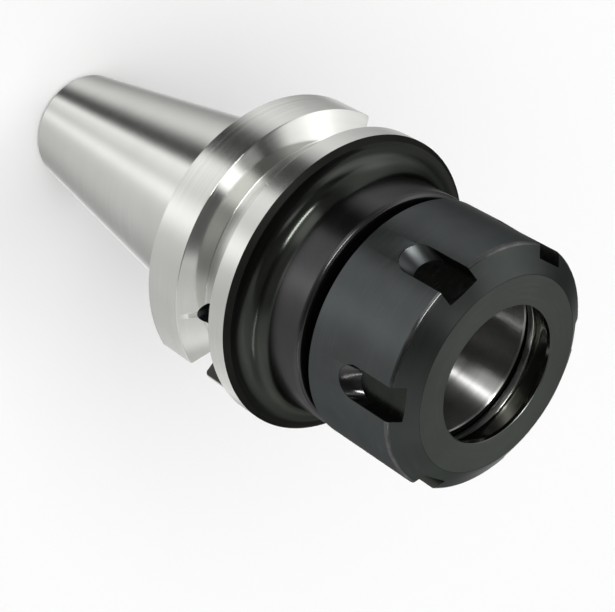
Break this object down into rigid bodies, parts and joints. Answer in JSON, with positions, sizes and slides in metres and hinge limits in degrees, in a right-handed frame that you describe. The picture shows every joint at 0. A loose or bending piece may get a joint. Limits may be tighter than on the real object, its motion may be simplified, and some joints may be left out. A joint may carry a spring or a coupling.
{
  "type": "collet chuck holder",
  "caption": "Size 40 steep-taper spindle tool holder with V-groove flange, collet seat and round clamping nut with spanner slots.",
  "frame": {"origin": "centre of the taper's gauge plane, where the taper is 44.45 mm across", "axes": "+Z along the spindle axis from the taper's small end towards the nose, drive slots on +Y and -Y"},
  "size_m": [0.063, 0.063, 0.1324],
  "materials": {
    "ground_steel": "ground bright on taper and flange rim, black oxide on flange face and neck",
    "blackened_steel": "satin black oxide, ground bright on the collet cone",
    "spring_steel": "bright spring steel"
  },
  "bodies": {
    "holder": {"holder_body": "ground_steel"},
    "ring": {"extractor_ring": "spring_steel"},
    "nut": {"clamping_nut": "blackened_steel"}
  },
  "joints": [
    {"name": "nut_travel", "type": "slide", "parent": "holder", "child": "ring", "axis": [0, 0, 1], "range_m": [0, 0.0135]},
    {"name": "nut_turn", "type": "hinge", "parent": "ring", "child": "nut", "pos_m": [0, 0, 0], "axis": [0, 0, 1], "range_deg": [0, 3240]}
  ],
  "couplings": [
    {"joint": "nut_travel", "follows": "nut_turn", "m_per_rad": 0.00023873}
  ]
}
